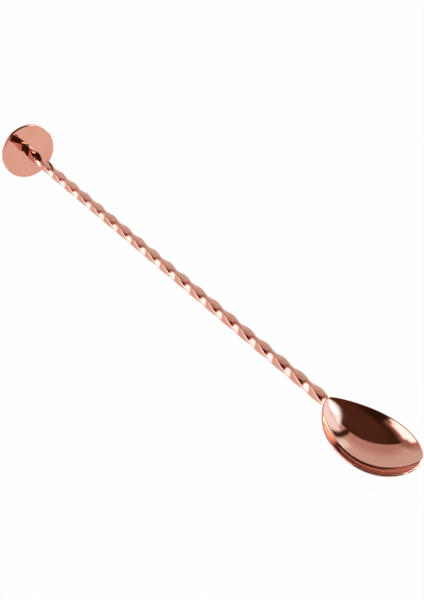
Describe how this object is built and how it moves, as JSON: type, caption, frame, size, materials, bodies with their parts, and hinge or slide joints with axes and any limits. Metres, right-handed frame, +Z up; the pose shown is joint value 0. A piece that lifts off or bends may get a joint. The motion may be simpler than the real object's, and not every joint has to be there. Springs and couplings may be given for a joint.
{
  "type": "bar spoon",
  "caption": "Long bar spoon with a twisted square stem, a teardrop bowl and a flat muddling disc at the far end.",
  "frame": {"origin": "on the table under the middle of the spoon, which lies at rest on the disc's edge and the bottom of the bowl", "axes": "+X along the spoon from the muddling disc to the bowl's tip, +Z up with the bowl's hollow facing up"},
  "size_m": [0.2818, 0.0276, 0.024],
  "materials": {
    "bowl_plate": "mirror-polished copper plate over pressed steel",
    "stem_plate": "mirror-polished copper plate over twisted steel bar",
    "disc_plate": "mirror-polished copper plate over steel",
    "braze_plate": "copper plate over dressed braze metal"
  },
  "bodies": {
    "root": {"bowl": "bowl_plate", "twisted_stem": "stem_plate", "muddler_disc": "disc_plate", "bowl_braze": "braze_plate", "disc_braze": "braze_plate"}
  },
  "joints": []
}
